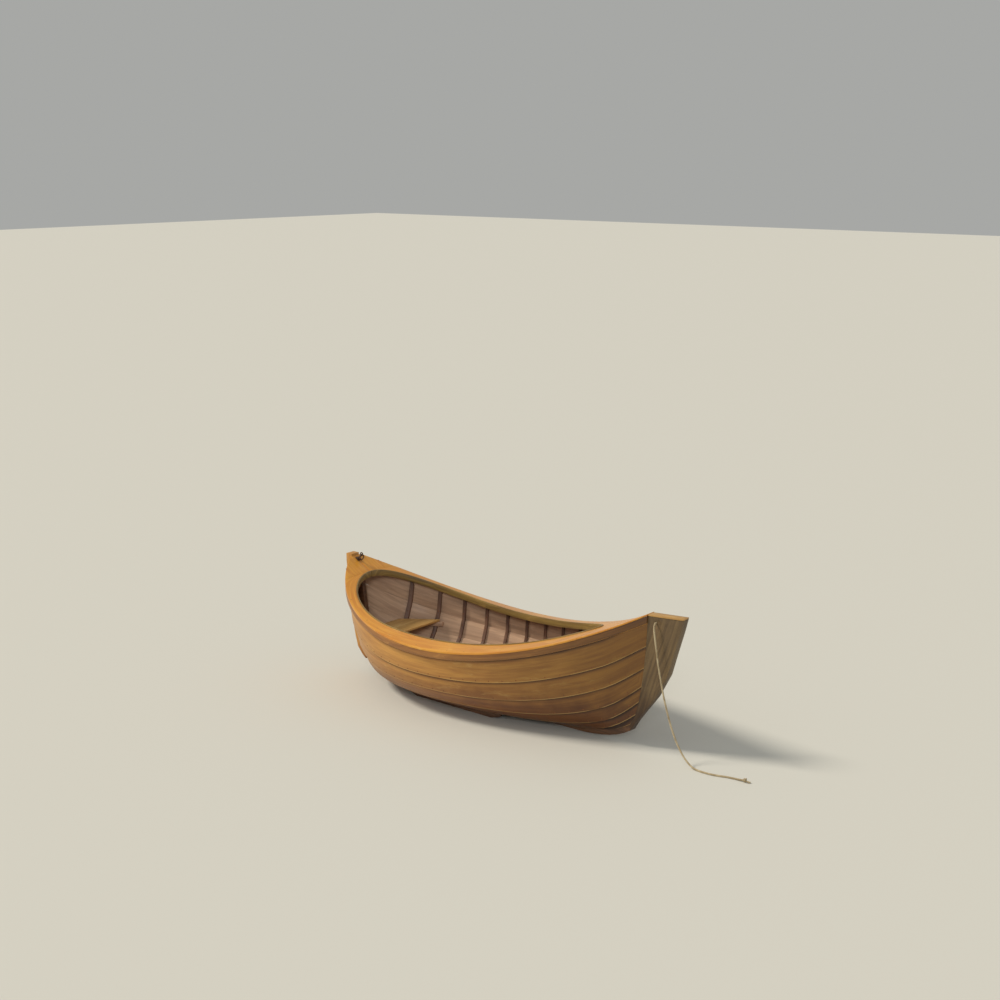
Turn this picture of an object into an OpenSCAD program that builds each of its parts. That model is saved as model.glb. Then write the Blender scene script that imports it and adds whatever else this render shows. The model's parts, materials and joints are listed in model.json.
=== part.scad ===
// A small decked clinker canoe with pointed ends, in millimetres.
// +X points to the bow, +Y to port and +Z up. The keel stands on z = 0.

/* [Hull] */
// Length of the deck from stem to stern post
hull_len = 2690; // [2240:10:3230]
// Half of the beam, to the outside of the rub rail
half_beam = 587; // [480:1:700]
// Height of the deck edge at the bow
bow_h = 932; // [850:1:1100]
// Height of the deck edge at the stern
stern_h = 870; // [800:1:1040]
// Height that the bow half of the deck edge is drawn down to
sheer_fore = 295; // [240:1:350]
// Height that the stern half of the deck edge is drawn down to
sheer_aft = 522; // [440:1:600]
// Height of the inner bottom above the floor
bottom_h = 40; // [36:1:48]

/* [Planking] */
// Thickness of a plank
plank_t = 9; // [7:0.5:11]
// Overlap of one plank over the next
lap = 20; // [16:1:24]
// Clearance between pieces that lie against each other
gap = 0.3; // [0.25:0.05:0.4]
// Clearance between curved wooden faces that lie against each other
seam = 0.9; // [0.8:0.05:0.95]

/* [Frame] */
// Width of a rib along the boat
rib_w = 25; // [20:1:30]
// Thickness of a rib
rib_t = 12; // [10:0.5:15]
// Distance from one rib to the next in a hull of the standard length
rib_step = 190; // [158:1:228]
// Half of the keel's width, which is the aprons' too
keel_half = 17.5; // [15:0.5:21]
// Depth of the keel below the bottom planks' lower edge
keel_d = 45; // [45:1:54]
// Half of the bow stem's width
stem_half = 30; // [28:0.5:36]
// Half of the stern post's width
post_half = 38; // [36:0.5:46]

/* [Deck] */
// Thickness of the deck
deck_t = 12; // [10:0.5:14]
// Thickness of the rub rail
rail_w = 28; // [24:1:33]
// Height of the rub rail
rail_h = 50; // [42:1:60]
// Width of the side deck inside the rub rail, beside the widest place of the opening
side_deck_w = 91; // [80:1:150]
// Length of the opening forward of its widest place in a hull of the standard length
open_fore = 1480; // [1230:10:1520]
// Length of the opening aft of its widest place in a hull of the standard length
open_aft = 660; // [550:10:670]
// Thickness of the coaming
coaming_t = 12; // [10:0.5:15]
// Height of the coaming above the deck
coaming_up = 6; // [4:0.5:10]

/* [Seat] */
// Height of the seat's top
seat_top = 376; // [320:1:420]
// Width of the seat along the boat
seat_w = 250; // [210:1:270]
// Thickness of the seat
seat_t = 18; // [15:1:22]

/* [Fittings] */
// Radius of the mooring ring to the middle of its bar
ring_r = 20; // [17:0.5:24]
// Radius of the mooring ring's bar
ring_bar = 4; // [3.5:0.25:5]
// Radius of the drain bung
bung_r = 9; // [7.5:0.25:10.5]
// Diameter of the painter rope
rope_d = 12; // [10:0.5:13]

/* [Hidden] */

// ---- the hull's lines ----
// t runs from 0 at the bow to 1 at the stern, and a station is one value of t.
stations = 54;
// The overhang of the stem's head past the deck, and of the stern post's head
stem_reach = 272;
cap_over = 4;
post_d = 55;
bow_x = (hull_len + post_d - stem_reach - cap_over) / 2;
stern_x = bow_x - hull_len;
side_y = keel_half + 0.5;
bow_rail_y = 42;
stern_rail_y = 56;
camber = 1.8e-4;
// Where the plank edges end on the stem and on the stern post, as x from the deck's end and z
bow_ends = [[-125, 150], [-85, 225], [-60, 320], [-40, 430], [-24, 560], [-10, 710]];
stern_ends = [[130, 140], [105, 205], [80, 290], [58, 395], [38, 520], [18, 670]];
// The plank edges amidships, as a share of the half breadth and as z above the inner bottom
mid_share = [0, 0.313, 0.587, 0.774, 0.905, 0.975];
mid_rise = [0, 9, 44, 105, 198, 312];
// How full each plank edge stays towards the ends, and how late it rises
fullness = [1, 1.9, 1.6, 1.4, 1.25, 1.1, 1];
lateness = [4, 3.2, 2.6, 2, 1.5, 1.2, 1];

function bez(a, b, c, d, t) =
    a * pow(1 - t, 3) + 3 * b * t * pow(1 - t, 2) + 3 * c * t * t * (1 - t) + d * pow(t, 3);
function mix(a, b, k) = a + (b - a) * k;
function clamp(v, low, high) = min(high, max(low, v));
function unit(v) = v / norm(v);
function along(t) = bez(0, 0.429, 0.86, 1, t);
function swell(t) = bez(0, 0.299, 0.283, 0, t) / 0.2185;
function sheer(t) = bez(bow_h, sheer_fore, sheer_aft, stern_h, t);
T = [for (i = [0:stations]) i / stations];
sheer_x = [for (t = T) bow_x - hull_len * along(t)];
// Fittings keep their place along and across a longer or wider hull than the standard one
long_by = hull_len / 2690;
wide_by = half_beam / 587;
mid_x = bow_x - hull_len / 2;
function at(x) = mid_x + (x - mid_x) * long_by;
sheer_z = [for (t = T) sheer(t)];
sheer_low = min(sheer_z);
low_t = [for (i = [0:stations]) if (sheer_z[i] == sheer_low) T[i]][0];
edge_y = [for (t = T) mix(mix(bow_rail_y, stern_rail_y, t), half_beam, clamp(swell(t), 0, 1))];
edge_z_table = [for (i = [0:stations]) [sheer_x[i], sheer_z[i]]];
edge_y_table = [for (i = [0:stations]) [sheer_x[i], edge_y[i]]];
function edge_z(x) = lookup(x, edge_z_table);
function half_at(x) = lookup(x, edge_y_table);
function deck_top(x, y) = edge_z(x) + camber * (pow(half_at(x), 2) - y * y);
function deck_under(x, y) = deck_top(x, y) - deck_t;

top_mid_y = half_beam - rail_w - plank_t - 2 * gap;
function mid_y(j) = j == 0 ? side_y : mid_share[j] * top_mid_y;
function rise(t) = (sheer(t) - sheer_low) / ((t < low_t ? bow_h : stern_h) - sheer_low);
function edge_height(j, t) =
    mix(bottom_h + mid_rise[j], (t < low_t ? bow_ends : stern_ends)[j][1],
        pow(clamp(rise(t), 0, 1), lateness[j]));
function edge_point(j, t) =
    let (x0 = bow_x + (j == 6 ? 0 : bow_ends[j][0]))
    let (x1 = stern_x + (j == 6 ? 0 : stern_ends[j][0]))
    let (x = mix(x0, x1, along(t)))
    let (y = j == 0 ? side_y
        : mix(side_y, j == 6 ? top_mid_y : mid_y(j), pow(clamp(swell(t), 0, 1), fullness[j])))
    [x, y, j == 6 ? deck_under(x, y) - seam : edge_height(j, t)];
K = [for (j = [0:6]) [for (t = T) edge_point(j, t)]];
K_y = [for (j = [0:6]) [for (p = K[j]) [p.x, p.y]]];
K_z = [for (j = [0:6]) [for (p = K[j]) [p.x, p.z]]];
function ky(j, x) = lookup(x, K_y[j]);
function kz(j, x) = lookup(x, K_z[j]);
// The skin at x, as y and z, a share s of the way up from plank edge j - 1 to edge j
function skin_at(j, s, x) =
    let (rows = [for (i = [0:stations]) mix(K[j - 1][i], K[j][i], s)])
    [lookup(x, [for (p = rows) [p.x, p.y]]), lookup(x, [for (p = rows) [p.x, p.z]])];
function section(x) = concat([skin_at(1, 0, x)],
    [for (j = [1:6]) for (s = [1 / 3, 2 / 3, 1]) skin_at(j, s, x)]);
function hull_y(x, z) = lookup(z, [for (p = section(x)) [p.y, p.x]]);
bow_face = [for (j = [0:6]) [K[j][0].z, K[j][0].x]];
stern_face = [for (j = [0:6]) [K[j][stations].z, K[j][stations].x]];

// ---- shared shapes ----
// A closed solid through a row of rings, each with the same number of points. The last
// side's diagonals run the other way, so that a plank's lap matches the plank under it.
module skin(rings) {
    n = len(rings[0]);
    m = len(rings);
    polyhedron(
        points = [for (r = rings) for (p = r) p],
        faces = concat(
            [[for (k = [0:n - 1]) k]],
            [for (i = [0:m - 2]) for (k = [0:n - 1])
                let (a = i * n + k)
                let (b = a + n)
                let (c = i * n + (k + 1) % n)
                let (d = c + n)
                each k < n - 1 ? [[a, b, d], [a, d, c]] : [[a, b, c], [b, d, c]]],
            [[for (k = [0:n - 1]) m * n - 1 - k]]));
}
module port_or_starboard(side) {
    if (side > 0) children();
    else mirror([0, 1, 0]) children();
}
module slab(outline, half, at_y = 0) {
    translate([0, at_y + half, 0]) rotate([90, 0, 0]) linear_extrude(2 * half) polygon(outline);
}

// ---- planks ----
function tangent(j, i) = unit(K[j][min(stations, i + 1)] - K[j][max(0, i - 1)]);
function across(j, i) = unit(K[j][i] - K[j - 1][i]);
function outward(j, i) = unit(cross(tangent(j, i) + tangent(j - 1, i), across(j, i)));
// The laps fade to a flush skin over the last stretch before each end
lap_fade = 260;
butt = 2;
function fade(i) =
    let (k = clamp(min(bow_x - sheer_x[i], sheer_x[i] - stern_x) / lap_fade, 0, 1))
    k * k * (3 - 2 * k);
// A point of the first or last ring is slid along the plank to the face of the stem or post
function to_face(p, j, i, again = 3) =
    i > 0 && i < stations || again == 0 ? p :
    let (v = tangent(j, i))
    let (x = i == 0 ? lookup(p.z, bow_face) - 2 * gap : lookup(p.z, stern_face) + 2 * gap)
    to_face(p + v * (x - p.x) / v.x, j, i, again - 1);
// The second plank twists most on the first one, and the more so the thicker they are
twist_room = 0.6 * pow(plank_t / 9, 2);
function low_inner(j, i) = j == 1 ? K[0][i]
    : K[j - 1][i]
        + outward(j - 1, i) * (plank_t * fade(i) + seam + (j == 2 ? (2 - fade(i)) * twist_room : 0))
        - across(j - 1, i) * lap * fade(i) + across(j, i) * butt * (1 - fade(i));
function inner_offset(j, i) =
    let (a = low_inner(j, i) - K[j - 1][i])
    let (b = K[j][i] - K[j - 1][i])
    let (d = across(j - 1, i))
    let (s = -(a * d) / ((b - a) * d))
    (a + (b - a) * s) * outward(j - 1, i);
function plank_ring(j, i) =
    let (n = outward(j, i))
    let (d = across(j, i))
    let (a = low_inner(j, i))
    let (k = K[j][i])
    let (f = fade(i))
    let (e = j == 6 ? plank_t : max(gap, inner_offset(j + 1, i) - seam - (j == 1 ? twist_room : 0)))
    let (b = k - d * (lap * f + gap + butt * (1 - f)))
    j == 6
    ? [to_face(a, j - 1, i), to_face(a + n * plank_t, j - 1, i),
       under_deck(to_face(k + n * plank_t, j, i)), under_deck(to_face(k, j, i))]
    : [to_face(a, j - 1, i), to_face(a + n * plank_t, j - 1, i), to_face(b + n * plank_t, j, i),
       to_face(b + n * max(plank_t * f, 2 * gap), j, i), to_face(k + n * e, j, i),
       to_face(k, j, i)];
function under_deck(p) = [p.x, p.y, deck_under(p.x, p.y) - seam];
module strake(j, side) {
    color(["peru", "chocolate", "peru", "chocolate", "peru", "burlywood"][j - 1])
    port_or_starboard(side) {
        if (j == 1 && side < 0) difference() {
            skin([for (i = [0:stations]) plank_ring(j, i)]);
            drain_axis() translate([0, 0, -40]) cylinder(r = socket_r + gap, h = 60, $fn = 48);
        }
        else skin([for (i = [0:stations]) plank_ring(j, i)]);
    }
}

// ---- backbone ----
hog_half = 35;
hog_t = 22;
seat_gap = gap + 0.2;
hog_gap = 1.4;
hog_run = [for (i = [0:stations]) if (K[1][i].y > hog_half + 32) i];
hog_i0 = hog_run[0];
hog_i1 = hog_run[len(hog_run) - 1];
function garboard_z(x, y) = lookup(y, [[ky(0, x), kz(0, x)], [ky(1, x), kz(1, x)]]);
function hog_bottom(i) = garboard_z(K[0][i].x, hog_half) + hog_gap;
function hog_top_at(x) = lookup(x, [for (i = hog_run) [K[0][i].x, hog_bottom(i) + hog_t]]);
function keel_top(i) = i >= hog_i0 && i <= hog_i1 ? hog_bottom(i) - gap : K[0][i].z + 4;
module keel() {
    color("saddlebrown")
    slab(concat(
        [for (i = [0:stations]) [K[0][i].x, keel_top(i)]],
        [for (i = [stations:-1:0]) [K[0][i].x, max(0, K[0][i].z - keel_d)]]), keel_half);
}
module hog() {
    color("sienna")
    slab(concat(
        [for (i = hog_run) [K[0][i].x, hog_bottom(i) + hog_t]],
        [for (k = [len(hog_run) - 1:-1:0]) [K[0][hog_run[k]].x, hog_bottom(hog_run[k])]]),
        hog_half);
}

// The bow stem's outer edge, as x from the deck's end and z
stem_nose = [[250, 852], [208, 715], [157, 542], [67, 374], [-27, 251], [-90, 165]];
cap_t = 13;
stem_rise = 18;
stem_top = bow_h - cap_t - 2;
// The hole for the painter rope, as x from the deck's end and height below the stem's top
rope_hole_x = 65.5;
rope_hole_drop = 31;
rope_hole_r = rope_d / 2 + 2;
rope_hole = [bow_x + rope_hole_x, stem_top - rope_hole_drop];
module bow_stem() {
    color("chocolate") difference() {
        slab(concat(
            [for (j = [0:6]) [K[j][0].x, K[j][0].z]],
            [[bow_x, stem_top], [bow_x + stem_reach, stem_top + stem_rise]],
            [for (p = stem_nose) [bow_x + p.x, p.y]],
            [[K[0][0].x + gap, max(0, K[0][0].z - keel_d)], [K[0][0].x + gap, K[0][0].z]]),
            stem_half);
        translate([rope_hole.x, 0, rope_hole.y]) rotate([90, 0, 0])
            cylinder(r = rope_hole_r, h = 3 * stem_half, center = true, $fn = 48);
    }
}
module stem_cap() {
    color("gold")
    slab([[bow_x + gap, stem_top + gap], [bow_x + stem_reach, stem_top + stem_rise + gap],
          [bow_x + stem_reach + cap_over, stem_top + stem_rise + cap_t],
          [bow_x + gap, stem_top + cap_t]], stem_half + cap_over);
}
apron_d = 70;
module bow_apron() {
    color("peru")
    slab(concat(
        [for (j = [6:-1:0]) [K[j][0].x - gap, K[j][0].z + (j == 0 ? 4 + gap : 0)]],
        [for (i = [1:hog_i0 - 1]) [K[0][i].x, keel_top(i) + gap]],
        [[K[0][hog_i0].x + gap, keel_top(hog_i0 - 1) + gap],
         [K[0][hog_i0].x + gap, hog_bottom(hog_i0) + hog_t]],
        [for (j = [1:5]) [K[j][0].x - apron_d - 8 * (6 - j), K[j][0].z]],
        [[bow_x - apron_d, deck_under(bow_x - apron_d, 0) - 6]]), keel_half);
}
post_up = 14;
post_heel = 30;
module stern_post() {
    color("burlywood")
    slab(concat(
        [for (j = [0:6]) [K[j][stations].x, K[j][stations].z]],
        [[stern_x, stern_h + post_up], [stern_x - post_d, stern_h + post_up]],
        [for (j = [6:-1:1]) [K[j][stations].x - post_d, K[j][stations].z - 30]],
        [[K[0][stations].x - post_heel, K[0][stations].z - keel_d / 2],
         [K[0][stations].x - gap, K[0][stations].z - keel_d],
         [K[0][stations].x - gap, K[0][stations].z]]), post_half);
}
module stern_apron() {
    color("peru")
    slab(concat(
        [for (j = [6:-1:0]) [K[j][stations].x + gap, K[j][stations].z + (j == 0 ? 4 + gap : 0)]],
        [for (i = [stations - 1:-1:hog_i1 + 1]) [K[0][i].x, keel_top(i) + gap]],
        [[K[0][hog_i1].x - gap, keel_top(hog_i1 + 1) + gap],
         [K[0][hog_i1].x - gap, hog_bottom(hog_i1) + hog_t]],
        [for (j = [1:5]) [K[j][stations].x + apron_d, K[j][stations].z]],
        [[stern_x + apron_d, deck_under(stern_x + apron_d, 0) - 12]]), keel_half);
}

// ---- bilge keels and rub rails ----
bilge_y = 200 * wide_by;
bilge_w = 26;
bilge_x = [for (x = [-720, -640, -540, -440, -340, -240, -140, -40, 60, 140]) at(x)];
bilge_lift = 24;
// The plank's outside is a little above the line that skin_z gives
bilge_seam = -0.1;
function skin_z(x, y) =
    let (p = [ky(1, x), kz(1, x)])
    let (q = [ky(2, x), kz(2, x)])
    let (d = unit(q - p))
    let (n = [d.y, -d.x])
    let (a = p + n * (2 * plank_t + seam) - d * lap)
    let (b = q + n * plank_t - d * (lap + gap))
    a.y + (b.y - a.y) * (y - a.x) / (b.x - a.x);
module bilge_keel(side) {
    last = len(bilge_x) - 1;
    color("saddlebrown") port_or_starboard(side)
    skin([for (k = [last:-1:0]) let (x = bilge_x[k])
        let (z = k == 0 || k == last ? bilge_lift : 0)
        let (y0 = bilge_y - bilge_w / 2)
        let (y1 = bilge_y + bilge_w / 2)
        [[x, y0, z], [x, y1, z],
         [x, y1, skin_z(x, y1) - bilge_seam], [x, y0, skin_z(x, y0) - bilge_seam]]]);
}
rail_round = 6;
rail_in = plank_t + seam + 2 * gap;
module rub_rail(side) {
    color("orange") port_or_starboard(side)
    skin([for (i = [0:stations])
        let (n = outward(6, i))
        let (p = to_face(K[6][i] + n * rail_in, 6, i))
        let (x = sheer_x[i] + (i == 0 ? -2 * gap : i == stations ? 2 * gap : 0))
        let (y = edge_y[i] - 1)
        let (foot = low_inner(6, i) + n * rail_in)
        let (top = K[6][i] + n * rail_in)
        let (low = to_face(top + unit(foot - top) * rail_h, 6, i))
        let (z = deck_under(x, y) - seam)
        [low, [x, y - rail_round, low.z], [x, y, low.z + rail_round],
         [x, y, z], [p.x, p.y, deck_under(p.x, p.y) - seam]]]);
}

// ---- ribs, shelves and beams ----
rib_x0 = at(-1170);
shelf_w = 18;
shelf_h = 30;
function rib_x(i) = rib_x0 + rib_step * long_by * (i - 1);
// The inner side of the skin at x from the hog up to the deck, set in by off
function rib_line(x, off) =
    let (all = section(x))
    let (foot = [hog_half + seam, lookup(hog_half + seam, [for (p = all) p])])
    let (pts = concat([foot], [for (p = all) if (p.x > rib_foot) p]))
    let (n = len(pts) - 1)
    [for (k = [0:n])
        let (d = unit(pts[min(n, k + 1)] - pts[max(0, k - 1)]))
        let (q = k == 0 ? pts[0] + [0, off + 2 * seat_gap] : pts[k] + off * [-d.y, d.x])
        [x, q.x, k == n ? pts[n].y - 1 : q.y]];
rib_foot = 75;
module rib(i) {
    x = rib_x(i);
    a = rib_line(x - rib_w / 2, seam);
    b = rib_line(x + rib_w / 2, seam);
    c = rib_line(x + rib_w / 2, seam + rib_t);
    d = rib_line(x - rib_w / 2, seam + rib_t);
    // The inner face's diagonals are the short ones, whichever way the plank edges rise
    rises_aft = a[3].z > b[3].z;
    color("rosybrown") for (side = [-1, 1]) port_or_starboard(side)
        skin([for (k = [0:len(a) - 1])
            rises_aft ? [d[k], a[k], b[k], c[k]] : [a[k], b[k], c[k], d[k]]]);
}
// The ends of the shelves, the cockpit opening and the boards along the boat
shelf_x = [for (x = [-1200:80:1040]) at(x)];
inside = rib_t + 2 * seam + gap;
module beam_shelf(side) {
    color("sienna") port_or_starboard(side)
    skin([for (x = shelf_x)
        let (z1 = kz(6, x) - 1.5)
        let (z0 = z1 - shelf_h)
        let (y1 = hull_y(x, z1) - inside)
        let (y0 = hull_y(x, z0) - inside)
        [[x, y1 - shelf_w, z0], [x, y1 - shelf_w, z1], [x, y1, z1], [x, y0, z0]]]);
}
open_x = at(-640);
open_half = half_beam - rail_w - side_deck_w;
open_runs = [open_aft * long_by, open_fore * long_by];
open_ends = [open_x - open_runs[0], open_x + open_runs[1]];
beam_w = 25;
beam_h = 40;
function beam_end(x) = hull_y(x, kz(6, x) - 1.5) - inside - shelf_w - seam;
module deck_beam(x0) {
    x1 = x0 + beam_w;
    e = min(beam_end(x0), beam_end(x1));
    color("sienna")
    skin([for (k = [-6:6]) let (y = e * k / 6)
        let (z0 = deck_under(x0, y) - seat_gap)
        let (z1 = deck_under(x1, y) - seat_gap)
        [[x0, y, z0], [x1, y, z1], [x1, y, z1 - beam_h], [x0, y, z0 - beam_h]]]);
}

// ---- decks and coaming ----
turns = 48;
function opening(a) =
    let (s = pow(sin(a), 2))
    [open_x + open_runs[a < 90 ? 1 : 0] * cos(a), open_half * pow(s, a < 90 ? 0.6 : 0.5)];
// A strip of deck between two edges, cut into flat bands across
module planked(rows, bands) {
    m = bands + 1;
    n = 2 * m;
    last = len(rows) - 1;
    pts = [for (r = rows) let (x = r[0]) each concat(
        [for (k = [0:bands]) let (y = mix(r[1], r[2], k / bands)) [x, y, deck_top(x, y)]],
        [for (k = [bands:-1:0]) let (y = mix(r[1], r[2], k / bands)) [x, y, deck_under(x, y)]])];
    polyhedron(pts, concat(
        [for (k = [0:bands - 1]) [k, k + 1, n - 2 - k, n - 1 - k]],
        [for (i = [0:last - 1]) for (k = [0:n - 1]) let (q = (k + 1) % n)
            each [[i * n + k, (i + 1) * n + k, (i + 1) * n + q],
                  [i * n + k, (i + 1) * n + q, i * n + q]]],
        [for (k = [0:bands - 1]) let (b = last * n)
            [b + n - 1 - k, b + n - 2 - k, b + k + 1, b + k]]));
}
module side_deck(side) {
    color("orange") port_or_starboard(side)
    planked([for (k = [0:turns]) let (p = opening(180 * k / turns))
        let (x = clamp(p.x, open_ends[0] + gap, open_ends[1] - gap))
        [x, max(gap, p.y), half_at(x)]], 5);
}
module fore_deck(side) {
    xs = concat([bow_x - 2 * gap], [for (x = sheer_x) if (x > open_ends[1] + 20 && x < bow_x - 8) x],
                [open_ends[1] + gap]);
    color("orange") port_or_starboard(side) planked([for (x = xs) [x, gap, half_at(x)]], 6);
}
module aft_deck(side) {
    xs = concat([open_ends[0] - gap],
                [for (x = sheer_x) if (x < open_ends[0] - 12 && x > stern_x + 4) x],
                [stern_x + 2 * gap]);
    color("orange") port_or_starboard(side) planked([for (x = xs) [x, gap, half_at(x)]], 6);
}
coaming_down = 30;
module coaming(side) {
    color("darkkhaki") port_or_starboard(side)
    skin([for (k = [0:turns])
        let (a = clamp(180 * k / turns, 0.01, 179.99))
        let (p = opening(a))
        let (v = unit(opening(min(180, a + 0.5)) - opening(max(0, a - 0.5))))
        let (n = k == 0 ? [-1, 0] : k == turns ? [1, 0] : [-v.y, v.x])
        let (c = p + n * gap)
        let (d = p + n * (gap + coaming_t))
        let (cy = max(gap, c.y))
        let (dy = max(gap, d.y))
        let (z1 = deck_top(c.x, cy) + coaming_up)
        let (z0 = z1 - coaming_up - deck_t - coaming_down)
        [[c.x, cy, z0], [c.x, cy, z1], [d.x, dy, z1], [d.x, dy, z0]]]);
}

// ---- floor and seat ----
timber_w = 30;
timber_top = 88;
timber_half = 300 * wide_by;
board_t = 12;
board_ends = [at(-770), at(330)];
// The rib that each floor timber lies forward of
timber_after = [3, 6, 8];
centre_half = 70 * wide_by;
side_board = [77 * wide_by, 207 * wide_by];
timber_tip = 8;
function timber_under(x, y) = y <= hog_half + 0.8 ? hog_top_at(x) + seat_gap
    : lookup(y, [for (j = [0:3]) [ky(j, x), kz(j, x)]]) + seat_gap + 0.5;
// A timber ends where the planks under it come up to within timber_tip of its top
function timber_end(x) = min(timber_half,
    lookup(timber_top - timber_tip - seat_gap - 0.5, [for (j = [0:3]) [kz(j, x), ky(j, x)]]));
module floor_timber(k) {
    x = rib_x(timber_after[k - 1] + 0.5);
    x0 = x - timber_w / 2;
    x1 = x + timber_w / 2;
    step = hog_half + 0.8;
    ys = [min(timber_end(x0), timber_end(x1)), ky(1, x), step + 0.2, step];
    all = concat([for (y = ys) -y], [for (i = [3:-1:0]) ys[i]]);
    color("sienna")
    skin([for (y = all)
        let (low = max(timber_under(x0, abs(y)), timber_under(x1, abs(y))))
        [[x0, y, timber_top], [x1, y, timber_top], [x1, y, low], [x0, y, low]]]);
}
module board(y0, y1) {
    color("tan") translate([board_ends[0], y0, timber_top + gap])
        cube([board_ends[1] - board_ends[0], y1 - y0, board_t]);
}
seat_fore = at(-954);
cleat_w = 22;
cleat_h = 34;
cleat_over = 28;
// Half of the room between the ribs' inner faces, which lean with the skin, less a clearance
function clear_y(x, z) =
    let (lean = (hull_y(x, z + cleat_w) - hull_y(x, z)) / cleat_w)
    hull_y(x, z) - (rib_t + seam + seat_gap) * sqrt(1 + lean * lean);
module stern_seat() {
    z = seat_top - seat_t;
    x0 = seat_fore - seat_w;
    color("tan") translate([0, 0, z]) linear_extrude(seat_t)
        polygon([for (p = [[seat_fore, -1], [seat_fore, 1], [x0, 1], [x0, -1]])
            [p.x, p.y * clear_y(p.x, z)]]);
}
module seat_cleats() {
    z1 = seat_top - seat_t - gap;
    z0 = z1 - cleat_h;
    color("sienna") for (side = [-1, 1]) port_or_starboard(side)
        skin([for (x = [seat_fore + cleat_over, rib_x(2), rib_x(1.5), rib_x(1),
                        seat_fore - seat_w - cleat_over])
            let (y1 = clear_y(x, z1))
            let (y0 = clear_y(x, z0))
            [[x, y1 - cleat_w, z0], [x, y0, z0], [x, y1, z1], [x, y1 - cleat_w, z1]]]);
}

// ---- ring bolt and mooring ring ----
bolt_x = stern_x + 33;
bolt_slope = atan((edge_z(bolt_x + 20) - edge_z(bolt_x - 20)) / 40);
bolt_seat = 1.7;
plate_t = 5;
plate_size = [34, 40];
eye_h = plate_t + 50;
eye_r = 11;
// The ring hangs straight down and rests in the eye, this far under its middle
ring_drop = 2.35;
ring_tilt = 90 + bolt_slope;
module on_aft_deck() {
    translate([bolt_x, 0, deck_top(bolt_x, 0) + bolt_seat]) rotate([0, -bolt_slope, 0]) children();
}
module ring_bolt() {
    color("dimgray") on_aft_deck() {
        translate([-plate_size.x / 2, -plate_size.y / 2, 0]) cube([plate_size.x, plate_size.y, plate_t]);
        translate([0, 0, eye_h]) rotate([90, 0, 0])
            rotate_extrude($fn = 64) translate([eye_r, 0]) circle(r = ring_bar, $fn = 32);
        translate([0, 0, plate_t - 1]) cylinder(r = 11, h = 5, $fn = 48);
        translate([0, 0, plate_t - 1]) cylinder(r = 7, h = eye_h - plate_t - eye_r, $fn = 48);
    }
}
module mooring_ring() {
    color("dimgray") on_aft_deck() translate([0, 0, eye_h]) rotate([0, ring_tilt, 0])
        translate([ring_r + ring_drop, 0, 0])
        rotate_extrude($fn = 64) translate([ring_r, 0]) circle(r = ring_bar, $fn = 32);
}

// ---- drain ----
drain_x = at(-885);
drain_y = 72;
socket_r = bung_r + 3.5;
flange_t = 3;
flange_r = socket_r + 6;
bung_head_t = 7;
drain_seat = 1;
drain_dir = unit([ky(1, drain_x) - ky(0, drain_x), kz(1, drain_x) - kz(0, drain_x)]);
drain_run = atan((kz(0, drain_x + 20) - kz(0, drain_x - 20)) / 40);
module drain_axis() {
    translate([drain_x, drain_y, garboard_z(drain_x, drain_y)])
        rotate([atan2(drain_dir.y, drain_dir.x), 0, 0]) rotate([0, -drain_run, 0])
        translate([0, 0, drain_seat]) children();
}
module drain_socket() {
    color("darkgoldenrod") port_or_starboard(-1) drain_axis() difference() {
        union() {
            cylinder(r = flange_r, h = flange_t, $fn = 64);
            translate([0, 0, -plank_t]) cylinder(r = socket_r, h = plank_t + 1, $fn = 64);
        }
        translate([0, 0, -50]) cylinder(r = bung_r + gap, h = 100, $fn = 64);
    }
}
module drain_bung() {
    color("black") port_or_starboard(-1) drain_axis() {
        translate([0, 0, -plank_t]) cylinder(r = bung_r, h = plank_t + flange_t + gap + 1, $fn = 64);
        translate([0, 0, flange_t + gap]) cylinder(r = flange_r - 2, h = bung_head_t, $fn = 64);
    }
}

// ---- painter rope ----
rope_r = rope_d / 2;
// Hand-laid points from the hole in the stem down to the floor and along it
laid = [
    [1300, 20, 885], [1300, 0, 885], [1300, -20, 885], [1300, -34, 885], [1301, -48, 880],
    [1303, -58, 867], [1306, -62, 845], [1311, -64, 815], [1325, -66, 740], [1350, -70, 615],
    [1377, -74, 510], [1405, -78, 410], [1455, -84, 270], [1505, -90, 165], [1555, -96, 92],
    [1605, -102, 42], [1655, -108, 14], [1705, -112, 7], [1755, -114, 7], [1805, -110, 7],
    [1850, -98, 7], [1895, -84, 7], [1940, -76, 7], [1980, -74, 9], [2010, -74, 12]
];
// Where the hole is in the standard hull, and the height under which the rope lies on the floor
laid_hole = [1300, 886];
laid_low = 100;
route = [for (p = laid)
    [p.x + rope_hole.x - laid_hole.x, p.y, p.z * (p.z > laid_low ? rope_hole.y / laid_hole.y : 1)]];
rope_start = [rope_hole.x, stem_half + gap, rope_hole.y - 1.7];
rope_pts = concat([rope_start], route);
steps = 3;
function curve(p, i, s) =
    let (n = len(p) - 1)
    let (a = p[max(0, i - 1)])
    let (b = p[i])
    let (c = p[i + 1])
    let (d = p[min(n, i + 2)])
    0.5 * (2 * b + (c - a) * s + (2 * a - 5 * b + 4 * c - d) * s * s
        + (3 * b - a - 3 * c + d) * s * s * s);
long_step = 60;
rope_line = concat(
    [for (i = [0:len(rope_pts) - 2]) let (k = norm(rope_pts[i + 1] - rope_pts[i]) > long_step ? steps : 1)
        for (s = [0:k - 1]) curve(rope_pts, i, s / k)],
    [rope_pts[len(rope_pts) - 1]]);
function heading(i) = let (n = len(rope_line) - 1)
    i == 0 ? [0, -1, 0] : i == n ? [1, 0, 0] : unit(rope_line[i + 1] - rope_line[i - 1]);
function carried(i, v) = unit(v - heading(i) * (v * heading(i)));
function frames(i, v) = i == len(rope_line) ? [] :
    let (w = carried(i, v)) concat([w], frames(i + 1, w));
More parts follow.
